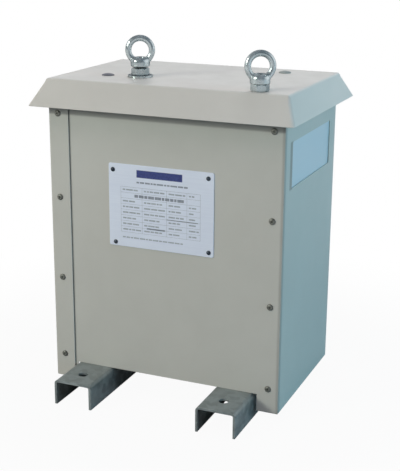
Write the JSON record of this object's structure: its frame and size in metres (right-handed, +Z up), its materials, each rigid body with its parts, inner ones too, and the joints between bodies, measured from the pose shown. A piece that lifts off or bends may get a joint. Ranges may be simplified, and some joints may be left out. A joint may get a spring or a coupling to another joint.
{
  "type": "enclosed dry-type power transformer",
  "caption": "Small dry-type power transformer in a folded sheet housing with a flared drip hood, lifting eyes and channel rails.",
  "frame": {"origin": "on the floor, in the middle of the footprint", "axes": "+Z up, +X to the right seen from the front, -Y towards the front"},
  "size_m": [0.334, 0.32, 0.4425],
  "materials": {
    "housing_paint": "light grey powder coat, semi-gloss",
    "cover_plate_paint": "paler grey powder coat, semi-gloss",
    "plate_aluminium": "satin anodised",
    "galvanised_steel": "galvanised, dull spangle",
    "zinc_plated_steel": "bright zinc plate",
    "core_laminations": "varnished lamination edges",
    "varnished_winding": "varnished tape",
    "bobbin_board": "pressed board",
    "clamp_paint": "dark primer"
  },
  "bodies": {
    "root": {"front_panel": "housing_paint", "back_panel": "housing_paint", "left_side_panel": "housing_paint", "right_side_panel": "housing_paint", "hood": "housing_paint", "side_cover_plate": "cover_plate_paint", "nameplate": "plate_aluminium", "left_rail": "galvanised_steel", "right_rail": "galvanised_steel", "base_pan": "galvanised_steel", "top_deck": "galvanised_steel", "left_eye_nut": "zinc_plated_steel", "right_eye_nut": "zinc_plated_steel", "left_lock_nut": "zinc_plated_steel", "right_lock_nut": "zinc_plated_steel", "left_eye_washer": "zinc_plated_steel", "left_lifting_stud": "zinc_plated_steel", "right_lifting_stud": "zinc_plated_steel", "left_eye_spacer": "zinc_plated_steel", "right_eye_spacer": "zinc_plated_steel", "left_fixing_spacer": "zinc_plated_steel", "right_fixing_spacer": "zinc_plated_steel", "front_left_tie_rod": "zinc_plated_steel", "front_right_tie_rod": "zinc_plated_steel", "back_left_tie_rod": "zinc_plated_steel", "back_right_tie_rod": "zinc_plated_steel", "core": "core_laminations", "left_bobbin": "bobbin_board", "left_winding": "varnished_winding", "middle_bobbin": "bobbin_board", "middle_winding": "varnished_winding", "right_bobbin": "bobbin_board", "right_winding": "varnished_winding", "front_lower_clamp": "clamp_paint", "front_upper_clamp": "clamp_paint", "back_lower_clamp": "clamp_paint", "back_upper_clamp": "clamp_paint"}
  },
  "joints": []
}
